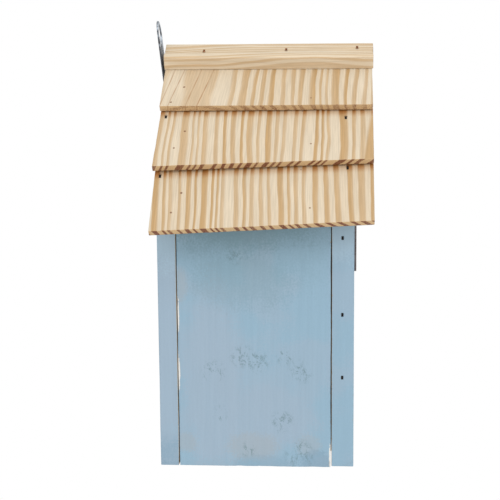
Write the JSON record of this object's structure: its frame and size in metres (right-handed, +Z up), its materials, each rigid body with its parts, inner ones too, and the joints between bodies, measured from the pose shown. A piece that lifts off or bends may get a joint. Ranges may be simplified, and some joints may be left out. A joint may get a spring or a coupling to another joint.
{
  "type": "birdhouse",
  "caption": "Wooden nest box with a lapped-board gable roof, moulded ridge cap, blue side walls, a clean-out side door and a steel hanging plate.",
  "frame": {"origin": "middle of the ground outline of the whole object, on the plane of the body's lower edges", "axes": "+Z up; the entrance faces -Y; the clean-out door is on the -X side; +Y is the back with the hanging plate"},
  "size_m": [0.1864, 0.1308, 0.2575],
  "materials": {
    "roof_pine": "raw flat-sawn pine",
    "cap_pine": "raw planed pine",
    "painted_pine": "thin matt blue paint on pine",
    "raw_pine": "raw pine",
    "brad_steel": "dull wire",
    "nail_steel": "dull wire",
    "guard_metal": "dark brown patina",
    "hanger_steel": "zinc plated, stained",
    "screw_steel": "zinc plated"
  },
  "bodies": {
    "house": {"roof_left_top": "roof_pine", "roof_left_middle": "roof_pine", "roof_left_eave": "roof_pine", "roof_right_top": "roof_pine", "roof_right_middle": "roof_pine", "roof_right_eave": "roof_pine", "ridge_cap_left": "cap_pine", "ridge_cap_right": "cap_pine", "front_centre_board": "painted_pine", "front_left_stave": "painted_pine", "front_right_stave": "painted_pine", "back_board": "painted_pine", "fixed_side": "painted_pine", "floor_board": "raw_pine", "roof_left_brads": "brad_steel", "roof_right_brads": "brad_steel", "ridge_cap_left_brads": "brad_steel", "ridge_cap_right_brads": "brad_steel", "front_edge_brads": "nail_steel", "side_wall_nails": "nail_steel", "floor_nails": "nail_steel", "door_pivot_nails": "nail_steel", "entrance_guard": "guard_metal", "entrance_guard_pins": "nail_steel", "hanger_plate": "hanger_steel", "hanger_screws": "screw_steel"},
    "door": {"side_door": "painted_pine"}
  },
  "joints": [
    {"name": "door_swing", "type": "hinge", "parent": "house", "child": "door", "pos_m": [-0.064, 0.00345, 0.13], "axis": [0, 1, 0], "range_deg": [0, 90]}
  ]
}
